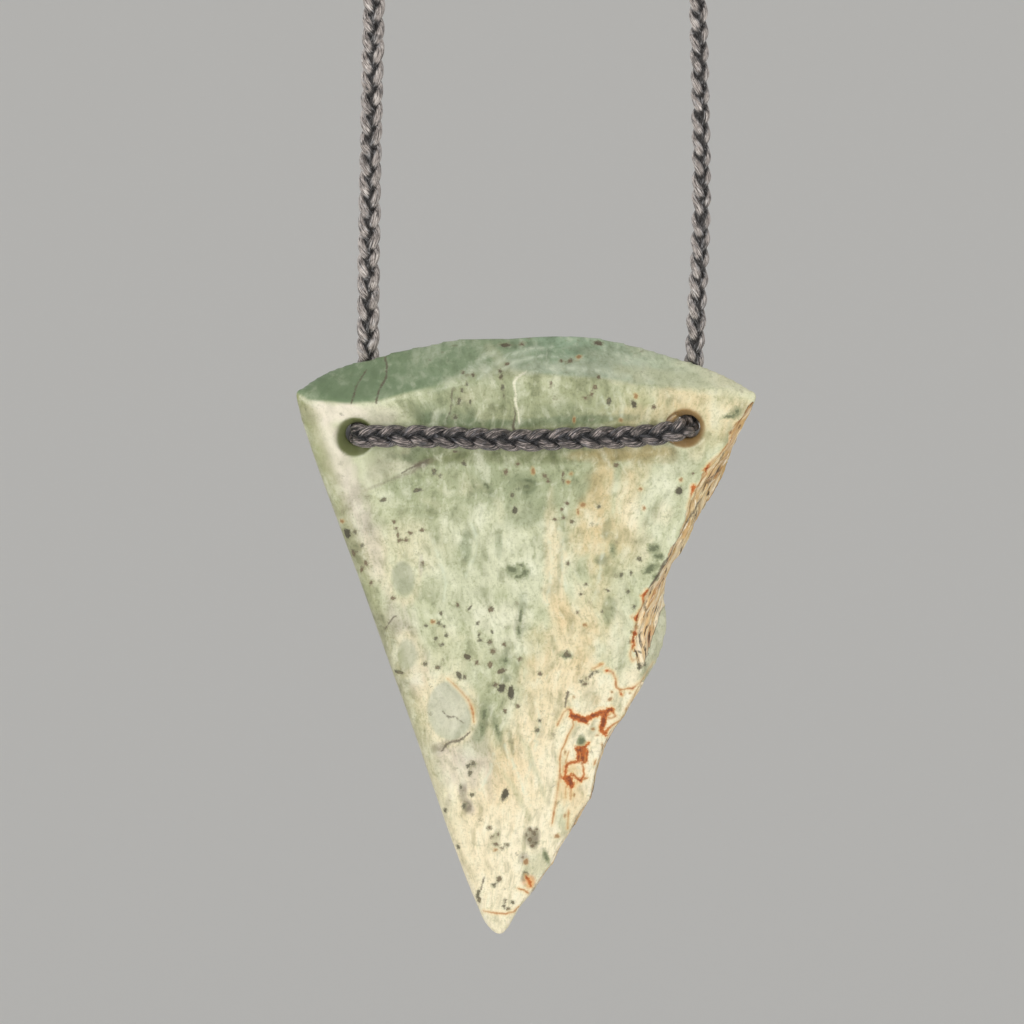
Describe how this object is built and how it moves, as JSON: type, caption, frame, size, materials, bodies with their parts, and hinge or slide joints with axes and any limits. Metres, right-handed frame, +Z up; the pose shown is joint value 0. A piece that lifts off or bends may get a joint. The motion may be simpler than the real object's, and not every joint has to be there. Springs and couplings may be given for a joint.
{
  "type": "jade tooth pendant",
  "caption": "Long tooth-shaped pendant of polished pale green jade with an arched bevelled top and a broken side, threaded on a braided cord that hangs as a closed loop.",
  "frame": {"origin": "where the loop hangs at the nape, in the middle under the join of the cord", "axes": "+Z up, from the stone to the nape; -Y is the side that the polished face looks to; +X to the viewer's right, across the stone"},
  "size_m": [0.0656, 0.0272, 0.2532],
  "materials": {
    "jade": "polished and translucent, cloudy green and ivory with brown specks and rust veins",
    "cord_fibre": "dark grey-brown waxed fibre in a round braid",
    "join_thread": "dark waxed thread, whipped tight"
  },
  "bodies": {
    "root": {"pendant_stone": "jade", "cord": "cord_fibre", "cord_join": "join_thread"}
  },
  "joints": []
}
